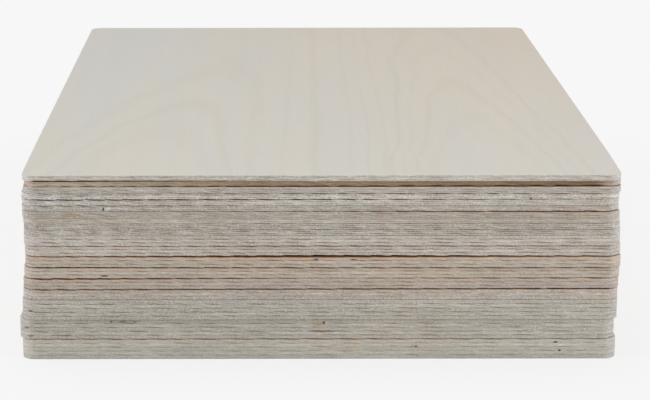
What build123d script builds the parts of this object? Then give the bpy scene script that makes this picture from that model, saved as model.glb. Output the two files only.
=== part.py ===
from build123d import *
import os

# A stack of craft plywood sheets with rounded corners, lying flat one on another.
# Origin on the underside, at the middle of the stack's footprint, +Z up.
# X runs across the stack, and Y runs away from the front, along the face grain.

# Driving dimensions, in millimetres
sheet_width = 200.0
sheet_depth = 300.0
corner_radius = 4.5

# Pressed thickness of each kind of sheet: heavy has five plies, and the others have three
heavy_thickness = 6.92
medium_thickness = 3.78
light_thickness = 3.60
thin_thickness = 2.07

# The heavy and medium kinds were trimmed a little wider than the others
heavy_extra_width = 1.1
medium_extra_width = 0.5

# Where each sheet lies, from the floor up: how far the middle of its front edge sits to the
# right and back of the stack's front, in millimetres, and its turn about that point, in degrees
heavy_places = [
    (-0.65, 0.20, 0.05),
    (-1.34, 0.45, -0.04),
    (-0.44, -0.15, 0.03),
]
medium_places = [
    (-0.30, 0.25, -0.06),
    (-0.08, -0.10, 0.04),
    (0.17, 0.15, 0.10),
    (0.50, -0.35, -0.05),
]
light_places = [
    (0.40, 0.40, 0.03),
    (0.17, 0.10, -0.03),
]
thin_places = [
    (0.17, 0.25, 0.05),
    (0.08, 0.00, -0.04),
    (-0.08, 0.20, 0.06),
    (-0.21, -0.30, -0.03),
    (-0.46, 0.30, 0.04),
    (-0.42, 0.05, -0.06),
    (-0.34, 0.25, 0.03),
    (0.06, -0.30, -0.05),
    (0.13, 0.75, 0.02),
    (0.03, -0.20, -0.04),
]

# The kinds of sheet, from the floor up: thickness, width and places
kinds = [
    (heavy_thickness, sheet_width + heavy_extra_width, heavy_places),
    (medium_thickness, sheet_width + medium_extra_width, medium_places),
    (light_thickness, sheet_width, light_places),
    (thin_thickness, sheet_width, thin_places),
]

os.makedirs("parts", exist_ok=True)


def add_sheet(number, underside, thickness, width, place):
    """One plywood sheet, written as its own node."""
    right, back, turn = place
    front_middle = Plane(origin=(right, back - sheet_depth / 2, underside))
    with BuildPart() as sheet:
        with BuildSketch(front_middle.rotated((0, 0, turn))):
            with Locations((0, sheet_depth / 2)):
                RectangleRounded(width, sheet_depth, corner_radius)
        extrude(amount=thickness)
    sheet.part.label = f"sheet_{number:02d}"
    export_step(sheet.part, f"parts/sheet_{number:02d}.step")


number = 1
height = 0.0
for thickness, width, places in kinds:
    for place in places:
        add_sheet(number, height, thickness, width, place)
        height += thickness
        number += 1
print(f"stack height {height:.2f} mm")
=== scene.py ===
import math
from collections import namedtuple

import bpy
import numpy as np
from mathutils import Matrix, Vector


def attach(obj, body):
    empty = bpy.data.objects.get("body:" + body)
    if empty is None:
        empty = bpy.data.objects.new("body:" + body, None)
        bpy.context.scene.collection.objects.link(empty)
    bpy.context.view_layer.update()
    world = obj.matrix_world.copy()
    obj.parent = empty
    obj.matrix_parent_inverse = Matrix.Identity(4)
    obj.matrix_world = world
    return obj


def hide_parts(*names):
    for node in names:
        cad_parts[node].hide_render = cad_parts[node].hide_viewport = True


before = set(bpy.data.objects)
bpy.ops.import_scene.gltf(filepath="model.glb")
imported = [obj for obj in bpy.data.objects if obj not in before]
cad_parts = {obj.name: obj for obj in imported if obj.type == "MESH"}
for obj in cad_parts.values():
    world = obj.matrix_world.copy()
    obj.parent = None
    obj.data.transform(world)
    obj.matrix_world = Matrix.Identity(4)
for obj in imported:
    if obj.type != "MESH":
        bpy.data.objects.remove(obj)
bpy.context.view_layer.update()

MM = 0.001
SEED = 41

# Sizes in millimetres, as in part.py
WIDTH = 200.0
DEPTH = 300.0
RADIUS = 4.5
HEAVY_EXTRA_WIDTH = 1.1
MEDIUM_EXTRA_WIDTH = 0.5

# Kinds of sheet, from the floor up: thickness, width, number of plies, and for each sheet
# where the middle of its front edge lies (right, back) and its turn about it in degrees
KINDS = [
    (6.92, WIDTH + HEAVY_EXTRA_WIDTH, 5,
     [(-0.65, 0.20, 0.05), (-1.34, 0.45, -0.04), (-0.44, -0.15, 0.03)]),
    (3.78, WIDTH + MEDIUM_EXTRA_WIDTH, 3,
     [(-0.30, 0.25, -0.06), (-0.08, -0.10, 0.04), (0.17, 0.15, 0.10), (0.50, -0.35, -0.05)]),
    (3.60, WIDTH, 3,
     [(0.40, 0.40, 0.03), (0.17, 0.10, -0.03)]),
    (2.07, WIDTH, 3,
     [(0.17, 0.25, 0.05), (0.08, 0.00, -0.04), (-0.08, 0.20, 0.06), (-0.21, -0.30, -0.03),
      (-0.46, 0.30, 0.04), (-0.42, 0.05, -0.06), (-0.34, 0.25, 0.03), (0.06, -0.30, -0.05),
      (0.13, 0.75, 0.02), (0.03, -0.20, -0.04)]),
]

# The sheets that differ from the rest: the one whose edge is painted dark brown with the shade
# of its recess, the one under it with a paler painted highlight on its lit ledge, and the top one
LIT_SHEET = 17
RECESS_SHADED_SHEET = 18
TOP_SHEET = 19

# Height of the slot over each sheet at the front's left, middle and right, in millimetres
SLOTS = [
    (0.16, 0.23, 0.14), (0.03, 0.06, 0.03), (0.01, 0.00, 0.01), (0.47, 0.45, 0.50),
    (0.60, 0.04, 0.24), (0.46, 0.36, 0.34), (0.37, 1.10, 0.54), (0.15, 0.25, 0.19),
    (0.04, 0.03, 0.04), (0.07, 0.12, 0.12), (0.04, 0.04, 0.05), (0.05, 0.04, 0.06),
    (0.03, 0.14, 0.60), (0.18, 0.05, 0.06), (0.38, 0.22, 0.08), (0.11, 0.23, 0.20),
    (0.14, 0.32, 0.36), (0.70, 0.18, 0.12), (0.0, 0.0, 0.0),
]

# How much less or more than usual of some slots is cut from the sheet below them, at the
# front's left, middle and right
USUAL_SHARE = (1.0, 1.0, 1.0)
SHARES = {4: (1.0, 0.8, 0.5), 6: (0.5, 1.25, 1.0), 17: (0.0, 0.0, 0.0), 18: (0.55, 0.3, 0.2)}

# Colour of each sheet's edge, from the floor up. The eighteenth is painted dark brown with the
# shade of its recess under the top sheet.
EDGE_COLOURS = [
    (0.605, 0.585, 0.525), (0.57, 0.545, 0.49), (0.555, 0.53, 0.475),
    (0.58, 0.53, 0.475), (0.545, 0.48, 0.42), (0.59, 0.525, 0.445), (0.575, 0.51, 0.43),
    (0.62, 0.57, 0.515), (0.605, 0.565, 0.515),
    (0.595, 0.57, 0.52), (0.55, 0.52, 0.465), (0.62, 0.575, 0.51), (0.54, 0.505, 0.445),
    (0.585, 0.555, 0.515), (0.635, 0.615, 0.565), (0.715, 0.695, 0.65), (0.57, 0.535, 0.48),
    (0.42, 0.33, 0.24), (0.66, 0.63, 0.57),
]

# How grainy each sheet's edge is, and how plainly its glue lines show, from the floor up
GRAIN = [0.44, 0.86, 0.96, 1.00, 0.72, 0.50, 0.56, 0.92, 0.90, 0.82, 1.55, 0.56, 0.80, 1.15, 1.15,
         1.22, 0.60, 0.35, 0.66]
GLUE = [0.60, 0.85, 0.90, 0.40, 0.80, 0.80, 0.90, 1.00, 1.00, 0.90, 0.60, 0.45, 0.60, 0.45, 0.45,
        0.55, 0.60, 0.50, 0.50]

# How strong the painted warm highlight on the lit ledge over each sheet is, at the front's left,
# middle and right
LEDGES = [
    (0.6, 0.6, 0.4), (0.1, 0.1, 0.1), (0.2, 0.1, 0.1), (0.8, 0.7, 0.8),
    (0.7, 0.3, 0.7), (0.7, 0.6, 0.4), (0.6, 0.9, 0.6), (0.4, 0.3, 0.3),
    (0.1, 0.1, 0.1), (0.2, 0.3, 0.3), (0.2, 0.3, 0.4), (0.8, 0.2, 0.2),
    (0.2, 0.3, 1.0), (0.8, 0.2, 0.1), (0.1, 0.1, 0.1), (0.4, 0.3, 0.4),
    (1.0, 1.0, 0.9), (0.5, 0.3, 0.3), (0.0, 0.0, 0.0),
]

# How much each sheet is worn at its front left and front right corners, in millimetres
WORN = [
    (0.05, 0.05), (0.0, 0.0), (0.2, 0.15), (0.0, 0.0), (0.0, 0.05), (0.1, 0.0), (0.3, 0.25),
    (0.0, 0.0), (0.0, 0.05), (0.1, 0.05), (0.25, 0.25), (0.15, 0.15), (0.15, 0.2), (0.35, 0.25),
    (0.3, 0.4), (0.1, 0.1), (0.4, 0.4), (0.6, 0.4), (0.2, 0.45),
]

# Knots, stains and splinters on the front: right, up, half width, half height, colour, strength
MARKS = [
    (-83.3, 50.3, 3.40, 0.48, (0.43, 0.29, 0.17), 0.65),
    (-72.7, 52.2, 0.40, 0.60, (0.10, 0.06, 0.07), 1.00),
    (-70.9, 52.4, 0.80, 0.45, (0.88, 0.82, 0.78), 0.85),
    (-72.6, 29.3, 1.30, 0.40, (0.20, 0.10, 0.05), 0.90),
    (-1.8, 35.0, 1.00, 0.38, (0.18, 0.10, 0.06), 0.90),
    (10.8, 35.0, 1.20, 0.38, (0.18, 0.10, 0.06), 0.90),
    (17.9, 34.7, 1.80, 0.36, (0.38, 0.22, 0.12), 0.60),
    (-97.9, 17.0, 0.85, 0.34, (0.12, 0.09, 0.07), 0.90),
    (-99.3, 10.9, 0.90, 0.38, (0.27, 0.13, 0.075), 0.85),
    (-97.9, 8.1, 1.10, 0.36, (0.33, 0.18, 0.09), 0.85),
    (-85.7, 8.3, 1.90, 0.34, (0.28, 0.17, 0.08), 0.85),
    (-65.9, 13.2, 5.40, 0.75, (0.34, 0.32, 0.29), 0.55),
    (-70.8, 13.1, 0.50, 0.36, (0.12, 0.10, 0.08), 0.90),
    (-66.6, 13.2, 1.10, 0.48, (0.20, 0.18, 0.16), 0.65),
    (-62.8, 13.0, 0.60, 0.30, (0.20, 0.18, 0.16), 0.60),
    (-0.9, 12.3, 2.60, 0.70, (0.50, 0.36, 0.19), 0.65),
    (1.1, 12.7, 0.45, 0.45, (0.10, 0.06, 0.04), 1.00),
    (0.6, 9.7, 5.20, 0.36, (0.28, 0.16, 0.09), 0.95),
    (31.3, 4.3, 1.90, 0.42, (0.46, 0.30, 0.22), 0.55),
    (31.9, 4.3, 0.55, 0.42, (0.34, 0.14, 0.10), 0.90),
    (79.1, 5.8, 0.80, 0.36, (0.08, 0.06, 0.05), 0.95),
    (80.4, 2.9, 0.42, 0.42, (0.10, 0.07, 0.05), 1.00),
    (69.4, 55.6, 0.42, 0.40, (0.10, 0.08, 0.08), 1.00),
]

# Points along each stretch of a sheet's outline
FRONT_POINTS = 312
BACK_POINTS = 208
SIDE_POINTS = 180
CORNER_POINTS = 9

# Where the front's left, middle and right are, and how far back the front's values and its
# worn corners fade out
FRONT_STATIONS = (-80, 0, 80)
FRONT_FADE = 40
WEAR_FADE = 30

# Away from the front: how many seeded values there are round a sheet, and the least and most
# height of a slot and strength of a ledge's painted highlight
KNOTS = 7
SLOTS_ELSEWHERE = (0.04, 0.40)
LEDGES_ELSEWHERE = (0.0, 0.8)

# How many waves a ripple is made of, and how many times as fine each may be, least to most
RIPPLE_WAVES = 10
RIPPLE_SPREAD = (0.55, 1.8)

# The saw's dashes: their length at the middle of the front, its growth to the right, how they
# wander (size and wavelength), and how far a row of them is shifted at most
DASH = 9.4
DASH_GROWTH = 0.021
DASH_WANDER = ((0.12, 60), (0.05, 15))
DASH_SHIFT = 0.25

# A slot's section: how far it reaches in, how steeply it closes inwards, the rings on its upper
# side, and on its lower side where the lit ledge ends, the dark begins and is full
SLOT_REACH = 4.0
SLOT_CLOSING = 1.6
UNDERSIDE_REACHES = (1.2, 2.5, SLOT_REACH)
MOST_BARE = 1.6
LIT_MARGIN = 0.1
LIT_SHARE = 0.9
DARK_MARGIN = 0.7
DARK_DEPTH = 1.2

# A slot's height: it opens where a dash's wave is above a level, and fully at a level above
# that. A low slot has the dashes' height, and from a steady height on they hardly change it.
OPENING_LEVEL = 0.25
OPENING_RISE = 0.6
STEADY_HEIGHT = 0.45
LOW_GAIN = 2.1
TALL_LEAST = 0.92
TALL_GAIN = 0.16
STEADY_PHASE = 0.35

# What slots and ledges lose at a sheet's corners
SLOT_CORNER_LOSS = 0.5
RECESS_SHADED_CORNER_LOSS = 0.85
LEDGE_CORNER_LOSS = 0.3

# The share of a slot that is cut from the sheet below it: at the middle, its growth outwards
# and its most, and how much the slot slants from one end of a dash to the other
SHARE_MIDDLE = 0.62
SHARE_GROWTH = 0.003
MOST_SHARE = 0.9
SLOT_SLANT = 0.22

# The middle of a rim's rounding: in from the edge and down from the face, as shares of its size
RIM_IN = 0.3
RIM_DOWN = 0.35

# Plies: where their rings lie, how deep they are sunk at least, by chance and at most, the
# relief of each kind (roughness, its wavelength, how much deeper it is) and of both (the same)
PLY_RINGS = (0.14, 0.5, 0.86)
LEAST_SUNK = 0.02
CHANCE_SUNK = 0.03
MOST_SUNK = 0.2
FACE_PLY = (0.035, 1.9, 0.02)
CROSS_PLY = (0.018, 3.0, 0.0)
BOTH_ROUGH = 0.02
BOTH_WAVE = 14

# Glue lines: their slant, roughness and its wavelength, how they fade in their dashes, what
# they lose at corners, their groove and its growth where they are strong, and a distance that
# is far from any
GLUE_SLANT = 0.28
GLUE_ROUGH = 0.03
GLUE_WAVE = 3.5
GLUE_FADE = 0.6
GLUE_CORNER_LOSS = 0.5
GROOVE = 0.07
GROOVE_GROWTH = 0.05
FAR = 1.0

# Painted colours: shade deep in a slot and warm shade at its mouth, warm and pale highlights on
# ledges, a highlight on the corners, and the recessed sheet's shade lessened on its left, deepened
# on its right and lifted at its ends
SLOT_SHADE = np.array((0.22, 0.085, 0.03))
SLOT_WARM_SHADE = np.array((0.43, 0.17, 0.06))
LEDGE_WARM_HIGHLIGHT = np.array((0.78, 0.57, 0.40))
LEDGE_PALE_HIGHLIGHT = np.array((1.0, 0.79, 0.60))
CORNER_HIGHLIGHT = np.array((0.06, 0.07, 0.12))
LESS_SHADE_LEFT = np.array((0.18, 0.20, 0.19))
MORE_SHADE_RIGHT = np.array((0.09, 0.095, 0.09))
SHADE_LIFTED_ENDS = np.array((0.62, 0.55, 0.47))

# Where on the front the recessed sheet's painted shade is lessened, deepened and lifted at its ends
LIGHTER_SPAN = (-95, -25)
DARKER_SPAN = (0, 80)
ENDS_SPAN = (90, 98)

# The mouth of a slot takes this painted warm bounce light from a fully lit ledge, as far as this
MOUTH_BOUNCE_LIGHT = LEDGE_WARM_HIGHLIGHT * 0.6
MOUTH_BOUNCE_SHARE = 0.2

# How much of its lit lip, a painted highlight, a sheet's upper rings show, how dark its lower rim
# is painted as shade over the slot below, and how dark the top sheet's upper rings are, and vary
LIP_SHARE = 0.5
LOWER_RIM = 0.75
TOP_LIP = 0.82
TOP_LIP_SPREAD = 0.10

# A sheet's material slots, and how many bands of faces lie on it in the slot above
FACE_MATERIAL = 0
EDGE_MATERIAL = 1
TOP_BANDS = 4

# The top veneer: its colour, the tints of its clouds, of its warm side and of its figure, and
# how plainly the figure shows
TOP_COLOUR = (0.594, 0.574, 0.516)
WARM_CLOUD = (1.008, 0.996, 0.985)
COOL_CLOUD = (0.974, 0.990, 1.030)
WARM_SIDE = (1.0, 0.93, 0.87)
FIGURE_TINT = (0.935, 0.875, 0.795)
FIGURE_STRENGTH = 0.40

# Lines of the figure: place, width and strength. Arches are counted outwards from the one
# through their top, and streaks from the middle of the sheet to the right.
LEFT_ARCHES = ((0.0, 16.0, 0.75), (75.0, 34.0, 0.5), (-50.0, 26.0, 0.4))
RIGHT_ARCHES = ((0.0, 22.0, 1.0), (156.0, 30.0, 1.1), (78.0, 24.0, 0.5), (-70.0, 30.0, 0.5))
STREAKS = ((0.5, 3.0, 0.9), (13.2, 1.2, 0.6), (19.0, 1.0, 0.7), (25.0, 1.5, 0.6), (-10.0, 2.2, 0.3))

# Tints of the cut edge: its warm patches, its glue lines and its small flecks
WARM_PATCH = (1.03, 0.97, 0.91)
GLUE_TINT = (0.58, 0.46, 0.37)
FLECK_TINT = (0.62, 0.47, 0.36)

# How far from a glue line its tint starts to fade and is gone, and the noise that starts and
# makes a fleck
GLUE_NEAR = (0.06, 0.26)
FLECK_NOISE = (0.44, 0.60)
FLECK_STRENGTH = 0.45

# The marks lie in front of this, in millimetres. Their outlines are shaken by this much to the
# right, back and up, and fade over this share of their size.
MARKS_END = -100.0
MARK_SHAKE = (1.2, 0.0, 0.5)
MARK_FADE = (0.65, 1.25)

# Floor: its half width in metres, its grey to the light and to the camera, its glow and the
# glow's share
FLOOR_REACH = 4.0
FLOOR_COLOUR = 0.76
FLOOR_SEEN = 0.91
FLOOR_GLOW = 0.927
GLOW_SHARE = 0.85

# World: its grey to the light and to the camera
WORLD_LIGHT = 0.50
WORLD_SEEN = 0.9215

# Soft far lamps: name, azimuth (0 shines from the front, 90 from the right), elevation,
# strength, and the angle that each fills
LAMPS = [
    ("overhead", -150.0, 72.0, 0.30, 50.0),
    ("left_side", -78.0, 20.0, 0.36, 60.0),
    ("right_side", 78.0, 20.0, 0.38, 60.0),
]

# Camera: its turns in radians, its place in metres, its lens in millimetres, and the shift
# that the photo's cropping needs
YAW = -0.0033
PITCH = 0.2434
ROLL = 0.0022
CAMERA_PLACE = (-0.01754, -0.84022, 0.22681)
SENSOR_WIDTH = 36.0
FOCAL_LENGTH = 118.684
SHIFT = 0.0968
NEAREST = 0.01


# Sheets and slots

Sheet = namedtuple("Sheet", "number low thickness width plies place")

# The slot over a sheet, as values round it: how much is cut from the sheet and from the one
# above, how strong the painted warm highlight on its ledge is, how far through its dash each
# point is, and the bare ledge
Slot = namedtuple("Slot", "cut raised ledge phase bare")


def stacked_sheets():
    """All sheets from the floor up, each on the one before."""
    sheets = []
    low = 0.0
    for thickness, width, plies, places in KINDS:
        for place in places:
            sheets.append(Sheet(len(sheets) + 1, low, thickness, width, plies, place))
            low += thickness
    return sheets


class Outline:
    """A rounded rectangle from its front left corner round, with its outward directions."""

    def __init__(self, width):
        side = width / 2
        inner = side - RADIUS
        self.points = []
        self.normals = []
        self.add_run((-inner, 0), (inner, 0), (0, -1), FRONT_POINTS)
        self.add_corner((inner, RADIUS), -90)
        self.add_run((side, RADIUS), (side, DEPTH - RADIUS), (1, 0), SIDE_POINTS)
        self.add_corner((inner, DEPTH - RADIUS), 0)
        self.add_run((inner, DEPTH), (-inner, DEPTH), (0, 1), BACK_POINTS)
        self.add_corner((-inner, DEPTH - RADIUS), 90)
        self.add_run((-side, DEPTH - RADIUS), (-side, RADIUS), (-1, 0), SIDE_POINTS)
        self.add_corner((-inner, RADIUS), 180)
        self.points = np.array(self.points)
        self.normals = np.array(self.normals, dtype=float)
        self.right, self.back = self.points.T
        self.gaps = np.linalg.norm(np.roll(self.points, -1, axis=0) - self.points, axis=1)
        self.along = np.concatenate(([0.0], np.cumsum(self.gaps)[:-1]))
        self.length = self.gaps.sum()
        self.at_corner = np.clip(np.abs(self.normals).min(axis=1) * 3, 0, 1)

    def add_run(self, start, end, normal, count):
        start, end = np.array(start), np.array(end)
        for i in range(count):
            self.points.append(start + (end - start) * i / count)
            self.normals.append(normal)

    def add_corner(self, centre, from_angle):
        for i in range(CORNER_POINTS):
            angle = math.radians(from_angle + 90 * i / CORNER_POINTS)
            outward = np.array((math.cos(angle), math.sin(angle)))
            self.points.append(np.array(centre) + RADIUS * outward)
            self.normals.append(outward)


def placed(points, place):
    """Points of a sheet moved and turned to its place, from the middle of the stack's front."""
    right, back, turn = place
    cos = math.cos(math.radians(turn))
    sin = math.sin(math.radians(turn))
    x, y = points.T
    return np.column_stack((right + x * cos - y * sin, back + x * sin + y * cos))


def ripple(outline, wave, rng):
    """Smooth seeded noise round a sheet, with about the given wavelength."""
    total = np.zeros_like(outline.along)
    for _ in range(RIPPLE_WAVES):
        turns = max(1, round(outline.length / wave * rng.uniform(*RIPPLE_SPREAD)))
        total += np.sin(2 * math.pi * (turns * outline.along / outline.length + rng.uniform()))
    return total / math.sqrt(RIPPLE_WAVES / 2)


def uneven(outline, rng, wave, middle, spread, least, most):
    """A value round a sheet that ripples about its middle value, within limits."""
    return np.clip(middle + spread * ripple(outline, wave, rng), least, most)


def around(outline, front, span, rng):
    """A value round a sheet: given at the front's left, middle and right, and seeded elsewhere."""
    at_front = np.interp(outline.right, FRONT_STATIONS, front)
    knots = rng.uniform(*span, KNOTS)
    turn = outline.along / outline.length * KNOTS
    first = np.floor(turn).astype(int) % KNOTS
    past = turn - np.floor(turn)
    past = past * past * (3 - 2 * past)
    elsewhere = knots[first] * (1 - past) + knots[(first + 1) % KNOTS] * past
    near = np.clip(1 - outline.back / FRONT_FADE, 0, 1)
    return at_front * near + elsewhere * (1 - near)


def saw_marks(outline):
    """How many of the saw's dashes lie before each point."""
    steps = outline.gaps / (DASH + DASH_GROWTH * outline.right)
    before = np.concatenate(([0.0], np.cumsum(steps)[:-1]))
    return before * round(steps.sum()) / steps.sum()


def dashes(outline, rng):
    """How far each point round a sheet is through its dash, from 0 to 1."""
    wander = sum(size * ripple(outline, wave, rng) for size, wave in DASH_WANDER)
    return np.mod(saw_marks(outline) + wander + rng.uniform(-DASH_SHIFT, DASH_SHIFT), 1.0)


def uncovered(sheet, above, outline):
    """How far each point of a sheet's outline sticks out from under the sheet above."""
    sideways = np.abs(outline.normals[:, 0]) * np.sign(outline.right)
    wider = outline.points.copy()
    wider[:, 0] += sideways * (above.width - sheet.width) / 2
    apart = placed(wider, above.place) - placed(outline.points, sheet.place)
    return -(apart * outline.normals).sum(axis=1)


def slot_over(sheet, above, outline, rng):
    """The slot over a sheet: a low one comes and goes in dashes, and a tall one is steady."""
    number = sheet.number
    height = around(outline, SLOTS[number - 1], SLOTS_ELSEWHERE, rng)
    height = height * uneven(outline, rng, wave=5, middle=1, spread=0.16 / (1 + 1.5 * height),
                             least=0.5, most=1.5)
    ledge = around(outline, LEDGES[number - 1], LEDGES_ELSEWHERE, rng)
    ledge = np.clip(ledge * (0.8 + 0.35 * ripple(outline, 12, rng)), 0, 1)
    phase = dashes(outline, rng)
    if number == RECESS_SHADED_SHEET:
        phase = np.full(len(phase), STEADY_PHASE)
        corner_loss = RECESS_SHADED_CORNER_LOSS
    else:
        opening = np.clip((np.sin(math.pi * phase) - OPENING_LEVEL) / OPENING_RISE, 0, 1)
        low_slot = LOW_GAIN * opening
        tall_slot = TALL_LEAST + TALL_GAIN * opening
        height = height * (low_slot + (tall_slot - low_slot) * np.clip(height / STEADY_HEIGHT, 0, 1))
        corner_loss = SLOT_CORNER_LOSS
    if above is None:
        height = height * 0
        ledge = ledge * 0
        bare = np.zeros(len(phase))
    else:
        bare = uncovered(sheet, above, outline)
    height = height * (1 - corner_loss * outline.at_corner)
    ledge = np.clip(ledge * (1 - LEDGE_CORNER_LOSS * outline.at_corner), 0, 1)
    # The slot is cut from the sheets below and above it, and slants across their boundary
    factor = np.interp(outline.right, FRONT_STATIONS, SHARES.get(number, USUAL_SHARE))
    share = SHARE_MIDDLE + SHARE_GROWTH * np.abs(outline.right)
    share = np.clip(share * factor, 0, MOST_SHARE)
    slant = np.clip(SLOT_SLANT * (0.5 - phase), height * (share - 1), height * share)
    slant = slant * np.minimum(factor, 1)
    return Slot(height * share - slant, height * (1 - share) + slant, ledge, phase, bare)


# Meshes of the sheets

class Rings:
    """Rings of points round a sheet, from its top face over its edge to its underside."""

    def __init__(self, sheet, outline):
        left, right = WORN[sheet.number - 1]
        worn = np.where(outline.right < 0, left, right) * np.abs(outline.normals[:, 0])
        self.worn = worn * np.clip(1 - outline.back / WEAR_FADE, 0, 1)
        self.count = len(outline.points)
        self.values = {name: [] for name in ("inset", "height", "ply", "glue", "seam", "tint")}

    def add(self, inset, height, ply, tint, glue=0.0, seam=FAR):
        """One ring: how far in and up it is, its ply, colour, glue line and distance from one."""
        plain = {"inset": inset + self.worn, "height": height, "ply": ply, "glue": glue, "seam": seam}
        for name, value in plain.items():
            self.values[name].append(np.broadcast_to(value, self.count))
        self.values["tint"].append(np.broadcast_to(tint, (self.count, 3)))

    def joined(self, name):
        return np.concatenate(self.values[name])


def recess_shade(colour, outline):
    """Painted shade of the recessed sheet's edge: less towards the left, more towards the right, and
    lifted to pale at the ends.
    """
    left = np.interp(outline.right, LIGHTER_SPAN, (1, 0))[:, None]
    right = np.interp(outline.right, DARKER_SPAN, (0, 1))[:, None]
    end = np.interp(np.abs(outline.right), ENDS_SPAN, (0, 1))[:, None]
    colour = colour + left * LESS_SHADE_LEFT - right * MORE_SHADE_RIGHT
    return colour + end * (SHADE_LIFTED_ENDS - colour)


def edge_colours(sheet, outline, slot):
    """Colours round a sheet: its edge with painted highlights on its corners, the painted highlight of the
    lit ledge in the slot above, and the painted shade of the slot's mouth.
    """
    edge = np.broadcast_to(EDGE_COLOURS[sheet.number - 1], (len(outline.points), 3))
    # Painted shade of its recess on the recessed sheet
    if sheet.number == RECESS_SHADED_SHEET:
        edge = recess_shade(edge, outline)
    # Painted highlight: lighter at the rounded corners
    edge = edge * (1 + outline.at_corner[:, None] * CORNER_HIGHLIGHT)
    # Painted warm highlight on the lit ledge, paler on the sheet under the recessed one
    highlight = LEDGE_PALE_HIGHLIGHT if sheet.number == LIT_SHEET else LEDGE_WARM_HIGHLIGHT
    lit = edge + (highlight - edge) * slot.ledge[:, None]
    # Painted shade in the slot's mouth, dark to warm through each dash, with some painted bounce light
    # from the ledge
    mouth = SLOT_SHADE + (SLOT_WARM_SHADE - SLOT_SHADE) * slot.phase[:, None]
    mouth = mouth + (MOUTH_BOUNCE_LIGHT - mouth) * MOUTH_BOUNCE_SHARE * slot.ledge[:, None]
    return edge, lit, mouth


def slot_closing(reach):
    """How much of a slot's height is left at some reach into the stack."""
    return (1 - reach / SLOT_REACH) ** SLOT_CLOSING


def glue_lines(sheet, outline, rng):
    """Height and strength of each glue line, slanted and fading with the saw's dashes."""
    heights = []
    strengths = []
    for ply in range(1, sheet.plies):
        phase = dashes(outline, rng)
        lift = GLUE_SLANT * (0.5 - phase) + GLUE_ROUGH * ripple(outline, GLUE_WAVE, rng)
        heights.append(sheet.thickness * ply / sheet.plies + lift)
        strength = np.clip(np.sin(math.pi * phase), 0, 1) ** GLUE_FADE
        strength = strength * (1 - GLUE_CORNER_LOSS * outline.at_corner)
        strengths.append(strength * uneven(outline, rng, wave=20, middle=0.85, spread=0.35,
                                           least=0.2, most=1.3))
    return heights, strengths


def add_plies(rings, sheet, outline, borders, strengths, edge, lip, rng):
    """Three rings to each ply, a little rough and sunk, and one in each glue line's groove."""
    top_ply = sheet.plies - 1
    for ply in range(top_ply, -1, -1):
        upper, lower = borders[ply + 1], borders[ply]
        rough, wave, deeper = CROSS_PLY if ply % 2 else FACE_PLY
        sunk = LEAST_SUNK + CHANCE_SUNK * rng.uniform() + deeper
        for part in PLY_RINGS:
            uppermost = part == PLY_RINGS[0]
            relief = sunk + rough * ripple(outline, wave, rng)
            relief = relief + BOTH_ROUGH * ripple(outline, BOTH_WAVE, rng)
            shade = edge
            if uppermost and ply == top_ply:
                if sheet.number == TOP_SHEET:
                    shade = edge * (TOP_LIP + TOP_LIP_SPREAD * ripple(outline, 8, rng))[:, None]
                else:
                    shade = edge + (lip - edge) * LIP_SHARE
            above = (upper - lower) * part if ply < top_ply else FAR
            below = (upper - lower) * (1 - part) if ply > 0 else FAR
            rings.add(np.clip(relief, 0.0, MOST_SUNK), upper + (lower - upper) * part,
                      ply + 1 - part, shade, strengths[ply + 1] if uppermost else strengths[ply],
                      np.minimum(above, below))
        if ply > 0:
            groove = uneven(outline, rng, wave=2.4, middle=GROOVE + GROOVE_GROWTH * strengths[ply],
                            spread=0.02, least=0.02, most=0.24)
            rings.add(groove, lower, ply, edge, strengths[ply], 0.0)


def sheet_rings(sheet, outline, raised, slot, rng):
    """A sheet's section: its face in the slot above, its rims and plies, and its underside."""
    rim = uneven(outline, rng, wave=11, middle=0.12, spread=0.04, least=0.05, most=0.22)
    edge, lit, mouth = edge_colours(sheet, outline, slot)
    # The paler painted highlight of the lit ledge ends at its lip
    lip = edge if sheet.number == LIT_SHEET else lit
    rings = Rings(sheet, outline)

    bare = np.clip(slot.bare, 0, MOST_BARE)
    dark_from = bare + DARK_MARGIN
    lit_to = np.maximum(rim + LIT_MARGIN, bare * LIT_SHARE)
    # Painted shade deep in the slot and at its mouth, then the lit ledge's painted highlight
    for reach, shade in ((SLOT_REACH, SLOT_SHADE), (dark_from + DARK_DEPTH, SLOT_SHADE),
                         (dark_from, mouth), (lit_to, lit)):
        rings.add(reach, sheet.thickness - slot.cut * slot_closing(reach), sheet.plies, shade)
    top = sheet.thickness - slot.cut
    rings.add(rim, top, sheet.plies, lit)
    rings.add(rim * RIM_IN, top - rim * RIM_DOWN, sheet.plies, lip)

    heights, strengths = glue_lines(sheet, outline, rng)
    none = np.zeros(rings.count)
    add_plies(rings, sheet, outline, [raised + rim, *heights, top - rim],
              [none, *strengths, none], edge, lip, rng)

    # Painted shade under the sheet: its lower rim darker, then warm and dark shade into the slot below
    rings.add(rim * RIM_IN, raised + rim * RIM_DOWN, 0.0, edge * LOWER_RIM)
    rings.add(rim, raised, 0.0, SLOT_WARM_SHADE)
    for reach in UNDERSIDE_REACHES:
        rings.add(reach, raised * slot_closing(reach), 0.0, SLOT_SHADE)
    return rings


def give(mesh, name, values, kind="FLOAT", field="value"):
    """Gives each point of a mesh a value for the materials to read."""
    attribute = mesh.attributes.new(name, kind, "POINT")
    attribute.data.foreach_set(field, np.ascontiguousarray(values, dtype=np.float32).ravel())


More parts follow.
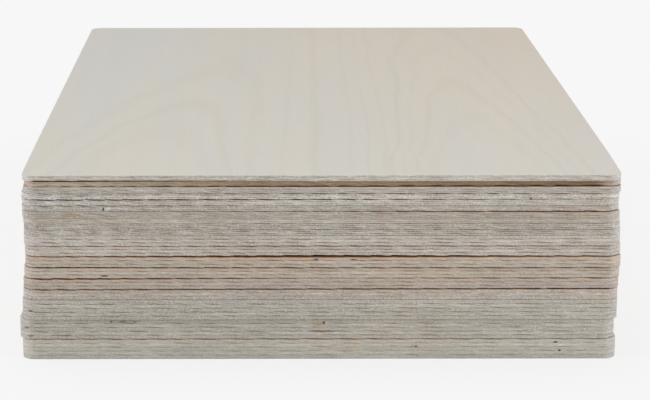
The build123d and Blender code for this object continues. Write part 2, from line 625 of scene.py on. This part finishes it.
def make_sheet(sheet, outline, raised, slot, rng):
    """One sheet as a closed mesh: bands of faces between its rings, and its two faces."""
    rings = sheet_rings(sheet, outline, raised, slot, rng)
    verts = []
    for inset, height in zip(rings.values["inset"], rings.values["height"]):
        flat = placed(outline.points - outline.normals * inset[:, None], sheet.place)
        verts.append(np.column_stack((flat[:, 0], flat[:, 1] - DEPTH / 2, sheet.low + height)))

    count = rings.count
    bands = len(verts) - 1
    here = np.arange(count)
    after = (here + 1) % count
    faces = []
    for band in range(bands):
        upper = band * count
        lower = upper + count
        quads = np.column_stack((upper + here, lower + here, lower + after, upper + after))
        faces.extend(quads.tolist())
    faces.append(here.tolist())
    faces.append((bands * count + here[::-1]).tolist())

    name = f"plywood_{sheet.number:02d}"
    mesh = bpy.data.meshes.new(name)
    mesh.from_pydata((np.concatenate(verts) * MM).tolist(), [], faces)
    material = np.full(len(faces), FACE_MATERIAL, dtype=np.int32)
    material[TOP_BANDS * count:(bands - len(UNDERSIDE_REACHES)) * count] = EDGE_MATERIAL
    smooth = np.ones(len(faces), dtype=bool)
    smooth[-2:] = False
    mesh.polygons.foreach_set("material_index", material)
    mesh.polygons.foreach_set("use_smooth", smooth)

    tint = rings.joined("tint")
    give(mesh, "ply", rings.joined("ply"))
    give(mesh, "glue", rings.joined("glue") * GLUE[sheet.number - 1])
    give(mesh, "seam", rings.joined("seam"))
    give(mesh, "grain", np.full(len(tint), GRAIN[sheet.number - 1]))
    give(mesh, "tint", np.column_stack((tint, np.ones(len(tint)))), "FLOAT_COLOR", "color")
    mesh.validate()
    mesh.update()

    piece = bpy.data.objects.new(name, mesh)
    bpy.context.scene.collection.objects.link(piece)
    return piece


# Materials

class Graph:
    """The nodes of a material or world, made with few words."""

    def __init__(self, owner):
        owner.use_nodes = True
        self.owner = owner
        self.tree = owner.node_tree
        self.tree.nodes.clear()

    def add(self, kind, inputs=None, **settings):
        node = self.tree.nodes.new(kind)
        for key, value in settings.items():
            setattr(node, key, value)
        for key, value in (inputs or {}).items():
            self.feed(node.inputs[key], value)
        return node

    def feed(self, socket, value):
        if isinstance(value, bpy.types.NodeSocket):
            self.tree.links.new(value, socket)
        else:
            socket.default_value = value

    def math(self, operation, a, b=0.0, c=0.0, clamp=False):
        node = self.add("ShaderNodeMath", {0: a, 1: b, 2: c}, operation=operation, use_clamp=clamp)
        return node.outputs[0]

    def total(self, start, *terms):
        """A starting value and terms on top of it, each a value and its strength."""
        for value, strength in terms:
            start = self.math("MULTIPLY_ADD", value, strength, start)
        return start

    def vector(self, operation, a, b):
        return self.add("ShaderNodeVectorMath", {0: a, 1: b}, operation=operation).outputs[0]

    def scaled(self, colour, factor):
        return self.add("ShaderNodeVectorMath", {0: colour, "Scale": factor}, operation="SCALE").outputs[0]

    def attribute(self, name, output="Fac"):
        return self.add("ShaderNodeAttribute", attribute_name=name).outputs[output]

    def place(self):
        """The place on the object in millimetres, and its parts to the right and back."""
        metres = self.add("ShaderNodeTexCoord").outputs["Object"]
        place = self.vector("MULTIPLY", metres, (1 / MM, 1 / MM, 1 / MM))
        right, back, _ = self.add("ShaderNodeSeparateXYZ", {0: place}).outputs
        return place, right, back

    def noise(self, place, scale, detail, rough):
        """Noise from about -1 to 1, with a scale to each millimetre to the right, back and up."""
        stretched = self.vector("MULTIPLY", place, scale)
        node = self.add("ShaderNodeTexNoise",
                        {"Vector": stretched, "Scale": 1.0, "Detail": detail, "Roughness": rough})
        return self.math("MULTIPLY_ADD", node.outputs["Fac"], 2.0, -1.0)

    def step(self, value, start, end, at_start=0.0, at_end=1.0):
        """A smooth change from one number to another while the value goes from start to end."""
        node = self.add("ShaderNodeMapRange",
                        {"Value": value, "From Min": start, "From Max": end,
                         "To Min": at_start, "To Max": at_end}, interpolation_type="SMOOTHSTEP")
        return node.outputs["Result"]

    def ridge(self, value, centre, width):
        """One where the value is centre, falling to nothing at width from it."""
        off = self.math("ABSOLUTE", self.math("SUBTRACT", value, centre))
        return self.step(off, 0.0, width, 1.0, 0.0)

    def either(self, factor, a, b):
        """A number between a and b."""
        return self.add("ShaderNodeMix", {0: factor, 2: a, 3: b}, data_type="FLOAT").outputs[0]

    def blend(self, factor, a, b, kind="MIX"):
        """A colour between a and b."""
        node = self.add("ShaderNodeMix", {0: factor, 6: a, 7: b}, data_type="RGBA",
                        blend_type=kind, clamp_factor=True)
        return node.outputs[2]

    def tinted(self, factor, colour, tint):
        """A colour multiplied by a tint, as far as the factor says."""
        return self.blend(factor, colour, (*tint, 1), "MULTIPLY")

    def shader(self, colour, roughness, height, distance, specular):
        bump = self.add("ShaderNodeBump", {"Height": height, "Strength": 1.0, "Distance": distance})
        principled = self.add("ShaderNodeBsdfPrincipled", {
            "Base Color": colour, "Roughness": roughness, "Normal": bump.outputs[0],
            "Specular IOR Level": specular})
        return self.ended(principled)

    def ended(self, shader, kind="ShaderNodeOutputMaterial"):
        """Leads a shader to the output, and gives back the finished material or world."""
        self.feed(self.add(kind).inputs[0], shader.outputs[0])
        return self.owner


def shaded(colour, tint):
    """A plain colour multiplied by a tint."""
    return (*(a * b for a, b in zip(colour, tint)), 1)


def grey(level):
    return level, level, level, 1


def face_grain(graph, place):
    """The grain of a sanded face, away from the front: pores, finer lines and the tone of both."""
    pores = graph.noise(place, (4.0, 0.10, 1.0), 3.0, 0.6)
    fine = graph.noise(place, (1.3, 0.03, 1.0), 3.0, 0.6)
    bands = graph.noise(place, (0.11, 0.006, 0.5), 2.0, 0.5)
    dark = graph.total(0.0, (pores, 0.016), (fine, 0.020), (bands, 0.022))
    return pores, fine, graph.math("SUBTRACT", 1.0, dark)


def sanded(graph, colour, pores, fine):
    """The matt finish of a sanded face, with bump from its grain."""
    roughness = graph.total(0.62, (fine, 0.05))
    height = graph.total(pores, (fine, 0.5))
    return graph.shader(colour, roughness, height, distance=0.00003, specular=0.35)


def inner_face_material():
    """The sanded faces inside the stack, which show only in its slots."""
    graph = Graph(bpy.data.materials.new("sanded_face"))
    place, _, _ = graph.place()
    pores, fine, tone = face_grain(graph, place)
    return sanded(graph, graph.scaled(graph.attribute("tint", "Color"), tone), pores, fine)


def figure(graph, place, x, y):
    """The faint figure of the top veneer: one on its arches and streaks, and nothing between."""
    wander = graph.noise(place, (0.02, 0.012, 0.3), 3.0, 0.55)
    front = -DEPTH / 2

    def arches(top_x, top_y, lean, half_width, wobble):
        """A value that stays the same along each arch about a top, and grows outwards."""
        up = graph.math("SUBTRACT", y, top_y)
        aside = graph.math("SUBTRACT", x, top_x)
        aside = graph.total(aside, (up, -lean), (wander, wobble))
        aside = graph.math("DIVIDE", aside, half_width)
        return graph.math("ADD", graph.math("MULTIPLY", aside, aside), up)

    left = arches(-46.0, front + 120.0, lean=0.134, half_width=2.84, wobble=9.0)
    right = arches(56.0, front + 164.0, lean=-0.01, half_width=1.8, wobble=7.0)
    streak = graph.total(x, (y, -0.016), (wander, 3.0))
    lines = 0.0
    for value, places in ((left, LEFT_ARCHES), (right, RIGHT_ARCHES), (streak, STREAKS)):
        for centre, width, strength in places:
            lines = graph.total(lines, (graph.ridge(value, centre, width), strength))
    return lines


def top_face_material():
    """The bare top face: pale veneer with long clouds and a faint arched figure."""
    graph = Graph(bpy.data.materials.new("sanded_top"))
    place, x, y = graph.place()
    pores, fine, tone = face_grain(graph, place)
    cloud = graph.noise(place, (0.042, 0.0045, 0.5), 2.0, 0.6)
    cloud = graph.math("MULTIPLY_ADD", cloud, 1.9, 0.5, clamp=True)
    colour = graph.blend(cloud, shaded(TOP_COLOUR, WARM_CLOUD), shaded(TOP_COLOUR, COOL_CLOUD))
    # The veneer is warmer to the right and to the back
    rightwards = graph.math("MULTIPLY_ADD", x, 1 / 150, 0.4)
    backwards = graph.math("MULTIPLY_ADD", y, 0.0025, 0.625)
    warmer = graph.math("MULTIPLY_ADD", rightwards, backwards, 0.08, clamp=True)
    colour = graph.tinted(warmer, colour, WARM_SIDE)
    # Painted light: the top is darker towards the back and lighter towards the right
    tone = graph.total(tone, (y, -0.00028), (x, 0.00022))
    lines = graph.math("MULTIPLY", figure(graph, place, x, y), FIGURE_STRENGTH)
    colour = graph.blend(lines, colour, shaded(TOP_COLOUR, FIGURE_TINT))
    return sanded(graph, graph.scaled(colour, tone), pores, fine)


def marked(graph, place, colour):
    """A colour with the front's knots, stains and splinters on it, their outlines shaken."""
    shake = graph.add("ShaderNodeTexNoise", {"Vector": place, "Scale": 0.9, "Detail": 2.0})
    shake = graph.vector("SUBTRACT", shake.outputs["Color"], (0.5, 0.5, 0.5))
    shaken = graph.vector("ADD", place, graph.vector("MULTIPLY", shake, MARK_SHAKE))
    for right, up, half_width, half_height, mark, strength in MARKS:
        near = graph.vector("SUBTRACT", shaken, (right, 0.0, up))
        near = graph.vector("MULTIPLY", near, (1 / half_width, 0.0, 1 / half_height))
        off = graph.add("ShaderNodeVectorMath", {0: near}, operation="LENGTH").outputs["Value"]
        colour = graph.blend(graph.step(off, *MARK_FADE, strength, 0.0), colour, (*mark, 1))
    return colour


def edge_material():
    """The cut edge: its face plies run away from the front, and its cross plies along it."""
    graph = Graph(bpy.data.materials.new("cut_edge"))
    place, x, y = graph.place()
    cross = graph.math("FLOORED_MODULO", graph.math("FLOOR", graph.attribute("ply")), 2.0)
    glue = graph.step(graph.attribute("seam"), *GLUE_NEAR, 1.0, 0.0)
    glue = graph.math("MULTIPLY", glue, graph.attribute("glue"))
    grain = graph.attribute("grain")

    dots = graph.either(cross, graph.noise(place, (1.3, 0.10, 2.2), 3.0, 0.7),
                        graph.noise(place, (0.10, 1.3, 2.6), 3.0, 0.7))
    fine = graph.either(cross, graph.noise(place, (3.2, 0.25, 4.0), 2.0, 0.6),
                        graph.noise(place, (0.6, 3.2, 4.5), 2.0, 0.6))
    fuzz = graph.noise(place, (2.0, 2.0, 3.0), 2.0, 0.7)
    streaks = graph.noise(place, (0.28, 0.28, 2.9), 2.0, 0.6)
    patches = graph.noise(place, (0.05, 0.05, 0.35), 2.0, 0.5)
    wide = graph.noise(place, (0.02, 0.02, 0.12), 2.0, 0.5)
    # Painted light: the x term makes the edge lighter towards the right
    tone = graph.total(0.0, (dots, graph.total(0.13, (grain, 0.55))), (fine, 0.38),
                       (fuzz, graph.total(-0.06, (grain, 0.58))), (streaks, 0.27),
                       (patches, 0.17), (x, 0.0004))
    tone = graph.math("ADD", tone, graph.either(cross, 0.985, 1.03))
    colour = graph.scaled(graph.attribute("tint", "Color"), tone)
    warmer = graph.math("MULTIPLY_ADD", wide, 0.9, 0.2, clamp=True)
    colour = graph.tinted(warmer, colour, WARM_PATCH)
    colour = graph.tinted(glue, colour, GLUE_TINT)

    # Small brown flecks all round, and the marks of the front by place
    fleck = graph.step(graph.noise(place, (0.16, 0.16, 1.1), 2.0, 0.5), *FLECK_NOISE)
    colour = graph.tinted(graph.math("MULTIPLY", fleck, FLECK_STRENGTH), colour, FLECK_TINT)
    in_front = graph.math("LESS_THAN", y, MARKS_END)
    colour = graph.blend(in_front, colour, marked(graph, place, colour))
    roughness = graph.total(0.84, (dots, 0.06))
    height = graph.total(dots, (fine, 0.5), (fuzz, 0.6), (glue, -0.8))
    return graph.shader(colour, roughness, height, distance=0.00008, specular=0.2)


# Surroundings

def make_floor():
    """A plain pale floor, which glows a little to the camera."""
    mesh = bpy.data.meshes.new("floor")
    corners = [(-FLOOR_REACH, -FLOOR_REACH, 0), (FLOOR_REACH, -FLOOR_REACH, 0),
               (FLOOR_REACH, FLOOR_REACH, 0), (-FLOOR_REACH, FLOOR_REACH, 0)]
    mesh.from_pydata(corners, [], [(0, 1, 2, 3)])
    floor = bpy.data.objects.new("floor", mesh)
    bpy.context.scene.collection.objects.link(floor)
    graph = Graph(bpy.data.materials.new("pale_floor"))
    seen = graph.add("ShaderNodeLightPath").outputs["Is Camera Ray"]
    colour = graph.blend(seen, grey(FLOOR_COLOUR), grey(FLOOR_SEEN))
    diffuse = graph.add("ShaderNodeBsdfDiffuse", {"Color": colour})
    glow = graph.add("ShaderNodeEmission", {"Color": grey(FLOOR_GLOW)})
    share = graph.math("MULTIPLY", seen, GLOW_SHARE)
    pale = graph.add("ShaderNodeMixShader", {0: share, 1: diffuse.outputs[0], 2: glow.outputs[0]})
    floor.data.materials.append(graph.ended(pale))


def make_world():
    """Even light from all round, which the camera sees as a pale background."""
    graph = Graph(bpy.data.worlds.new("studio"))
    seen = graph.add("ShaderNodeLightPath").outputs["Is Camera Ray"]
    colour = graph.blend(seen, grey(WORLD_LIGHT), grey(WORLD_SEEN))
    background = graph.add("ShaderNodeBackground", {"Color": colour})
    bpy.context.scene.world = graph.ended(background, "ShaderNodeOutputWorld")


def make_lamp(name, azimuth, elevation, strength, angle):
    """A soft far lamp that shines from an azimuth and elevation in degrees."""
    lamp = bpy.data.lights.new(name, "SUN")
    lamp.energy = strength * math.pi
    lamp.angle = math.radians(angle)
    round_by = math.radians(azimuth)
    up_by = math.radians(elevation)
    towards = Vector((math.sin(round_by) * math.cos(up_by), -math.cos(round_by) * math.cos(up_by),
                      math.sin(up_by)))
    holder = bpy.data.objects.new(name, lamp)
    holder.rotation_euler = towards.to_track_quat("Z", "Y").to_euler()
    bpy.context.scene.collection.objects.link(holder)


def make_camera():
    """The camera at the photo's viewpoint."""
    forward = Vector((math.sin(YAW) * math.cos(PITCH), math.cos(YAW) * math.cos(PITCH), -math.sin(PITCH)))
    level = Vector((math.cos(YAW), -math.sin(YAW), 0))
    plumb = forward.cross(level)
    across = math.cos(ROLL) * level + math.sin(ROLL) * plumb
    down = -math.sin(ROLL) * level + math.cos(ROLL) * plumb
    lens = bpy.data.cameras.new("photo_view")
    lens.sensor_fit = "HORIZONTAL"
    lens.sensor_width = SENSOR_WIDTH
    lens.lens = FOCAL_LENGTH
    lens.shift_x = SHIFT
    lens.clip_start = NEAREST
    camera = bpy.data.objects.new("photo_view", lens)
    turned = Matrix((across, -down, -forward)).transposed().to_4x4()
    camera.matrix_world = Matrix.Translation(CAMERA_PLACE) @ turned
    bpy.context.scene.collection.objects.link(camera)
    bpy.context.scene.camera = camera


# The stack
top_face = top_face_material()
inner_face = inner_face_material()
cut_edge = edge_material()
rng = np.random.default_rng(SEED)
sheets = stacked_sheets()
raised = 0.0
for number, sheet in enumerate(sheets, start=1):
    outline = Outline(sheet.width)
    above = sheets[number] if number < TOP_SHEET else None
    slot = slot_over(sheet, above, outline, rng)
    piece = make_sheet(sheet, outline, raised, slot, rng)
    piece.data.materials.append(top_face if number == TOP_SHEET else inner_face)
    piece.data.materials.append(cut_edge)
    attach(piece, "root")
    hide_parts(f"sheet_{number:02d}")
    raised = slot.raised

# The scene
make_floor()
make_world()
for lamp in LAMPS:
    make_lamp(*lamp)
make_camera()
bpy.context.scene.view_settings.view_transform = "Standard"
